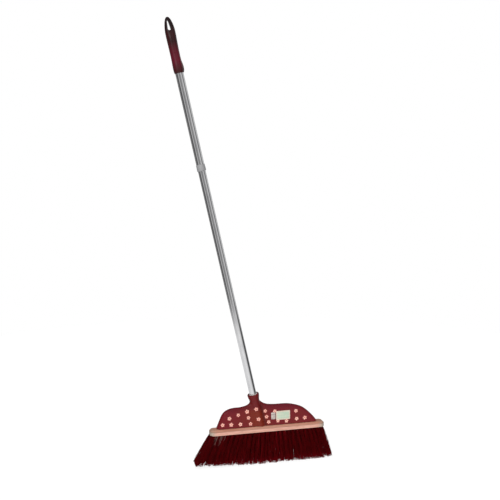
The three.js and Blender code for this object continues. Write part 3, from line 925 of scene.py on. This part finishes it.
def make_world():
    """White behind everything, and a studio that is bright in front and dark at the sides.

    Each stop is (bearing from the front in degrees, brightness)."""
    world = bpy.data.worlds.new("studio")
    bpy.context.scene.world = world
    world.use_nodes = True
    tree = world.node_tree
    tree.nodes.clear()
    join = tree.links.new

    def add(kind, **settings):
        node = tree.nodes.new(kind)
        for key, value in settings.items():
            setattr(node, key, value)
        return node

    coordinates = add("ShaderNodeTexCoord")
    split = add("ShaderNodeSeparateXYZ")
    join(coordinates.outputs["Generated"], split.inputs[0])
    back = add("ShaderNodeMath", operation="MULTIPLY")
    join(split.outputs["Y"], back.inputs[0])
    back.inputs[1].default_value = -1
    bearing = add("ShaderNodeMath", operation="ARCTAN2")
    join(split.outputs["X"], bearing.inputs[0])
    join(back.outputs[0], bearing.inputs[1])
    around = add("ShaderNodeMath", operation="MULTIPLY_ADD")
    join(bearing.outputs[0], around.inputs[0])
    around.inputs[1].default_value = 1 / (2 * math.pi)
    around.inputs[2].default_value = 0.5

    def bands(stops):
        node = add("ShaderNodeValToRGB")
        join(around.outputs[0], node.inputs[0])
        marks = node.color_ramp.elements
        while len(marks) < len(stops):
            marks.new(0.5)
        for mark, (degrees, level) in zip(marks, stops):
            mark.position = degrees / 360 + 0.5
            mark.color = (level, level, level * 1.01, 1)
        return node.outputs[0]

    def choose(fac, one, two):
        node = add("ShaderNodeMix", data_type="RGBA")
        join(fac, node.inputs[0])
        join(one, node.inputs[6])
        if two is None:
            node.inputs[7].default_value = (1, 1, 1, 1)
        else:
            join(two, node.inputs[7])
        return node.outputs[2]

    soft = bands([(-180, 0.60), (-140, 0.50), (-105, 0.20), (-70, 0.50), (-35, 1.60), (5, 1.45), (45, 0.50),
                  (80, 0.14), (115, 0.25), (150, 0.55), (180, 0.60)])
    above = bands([
        (-180, 0.12), (-140, 0.14), (-120, 0.30), (-100, 0.14), (-79, 0.05), (-62, 0.30), (-48, 0.62),
        (-34, 0.30), (-20, 0.16), (-4, 0.40), (8, 0.30), (30, 0.80), (46, 0.34), (64, 0.14),
        (84, 0.46), (106, 0.80), (140, 0.30), (180, 0.12)])
    below = bands([
        (-180, 0.70), (-140, 0.86), (-79, 0.78), (-49, 0.86), (-18, 0.94), (14, 0.84), (34, 0.60),
        (48, 0.16), (66, 0.06), (92, 0.08), (112, 0.50), (140, 0.75), (180, 0.70)])
    # How far a ray points along the handle: the lower part of the tube mirrors a pale panel, and
    # what looks down steeply mirrors a darker one.
    along = add("ShaderNodeVectorMath", operation="DOT_PRODUCT")
    join(coordinates.outputs["Generated"], along.inputs[0])
    along.inputs[1].default_value = AXIS

    def step(low, high):
        node = add("ShaderNodeMapRange")
        join(along.outputs["Value"], node.inputs["Value"])
        node.inputs["From Min"].default_value = low
        node.inputs["From Max"].default_value = high
        return node.outputs["Result"]

    steep = bands([
        (-180, 0.20), (-130, 0.30), (-100, 0.12), (-70, 0.50), (-40, 0.34), (-10, 0.60), (20, 0.50),
        (50, 0.30), (80, 0.14), (110, 0.42), (150, 0.30), (180, 0.20)])
    mirrored = choose(step(-0.46, -0.38), steep, choose(step(-0.265, -0.215), below, above))
    rays = add("ShaderNodeLightPath")
    light = choose(rays.outputs["Is Glossy Ray"], soft, mirrored)
    background = add("ShaderNodeBackground")
    join(choose(rays.outputs["Is Camera Ray"], light, None), background.inputs["Color"])
    join(background.outputs[0], add("ShaderNodeOutputWorld").inputs[0])


FLOOR_RADIUS = 2.1


def make_floor():
    """A round sheet of white, lit a little from below like a light table."""
    sides = 96
    turns = [2 * math.pi * k / sides for k in range(sides)]
    rim = [(FLOOR_RADIUS * math.cos(turn), FLOOR_RADIUS * math.sin(turn), 0) for turn in turns]
    mesh = bpy.data.meshes.new("floor")
    mesh.from_pydata(rim, [], [tuple(range(sides))])
    floor = bpy.data.objects.new("floor", mesh)
    bpy.context.scene.collection.objects.link(floor)
    p = Paint("floor_paint", Specular_IOR_Level=0.05, Emission_Color=(1, 1, 1, 1), Emission_Strength=0.86)
    p.paint(p.mix(p.noise(3, 2), (0.26, 0.26, 0.26, 1), (0.28, 0.28, 0.28, 1)))
    p.rough(p.range(p.noise(5, 2), 0.3, 0.7, 0.8, 0.9))
    floor.data.materials.append(p.mat)
    floor.visible_glossy = False
    floor.visible_diffuse = False


# ---------------------------------------------------------------- the broom

BLOCK_X = (BLOCK_LOW.x + BLOCK_HIGH.x) / 2
FAN_LEFT, FAN_RIGHT = corner_of("bristle_row_1", 0).x + 1, corner_of("bristle_row_1", 1).x - 1
FAN_DEEP = corner_of("bristle_row_5", 1).y - 0.5

make_camera()
make_world()
make_floor()
softbox("key", -38, 1.9, 2.6, 1.0, 1.2, 12)

the_cover = make_cover()
make_flowers(the_cover)
make_labels()
make_block()
dark_red = bristle_paint("bristle_fibre", colour(44, 0, 1), colour(98, 0, 5), colour(142, 6, 24))
for row in range(ROWS):
    make_row(row, dark_red)
pale = bristle_paint("bristle_pale", colour(150, 110, 104), colour(176, 140, 132), colour(206, 180, 172))
make_loose_strands(pale)
white_nylon = moulded_paint("white_nylon", colour(232, 230, 224), colour(220, 218, 210), 0.35, 0.5)
zinc = steel_paint("screw_steel", (0.66, 0.67, 0.64, 1), (0.52, 0.53, 0.50, 1), 0.3, 0.45)
make_mouth_ring(white_nylon)
make_tubes()
make_collar()
make_grip()

for node_name, node in frame["nodes"].items():
    slot_name = next(s["material_slot"] for s in frame["record"]["subparts"] if s["node"] == node_name)
    inner_paint = {"white_nylon": white_nylon, "screw_steel": zinc}.get(slot_name)
    if inner_paint is not None:
        node.data.materials.clear()
        node.data.materials.append(inner_paint)

scene = bpy.context.scene
scene.view_settings.view_transform = "Standard"
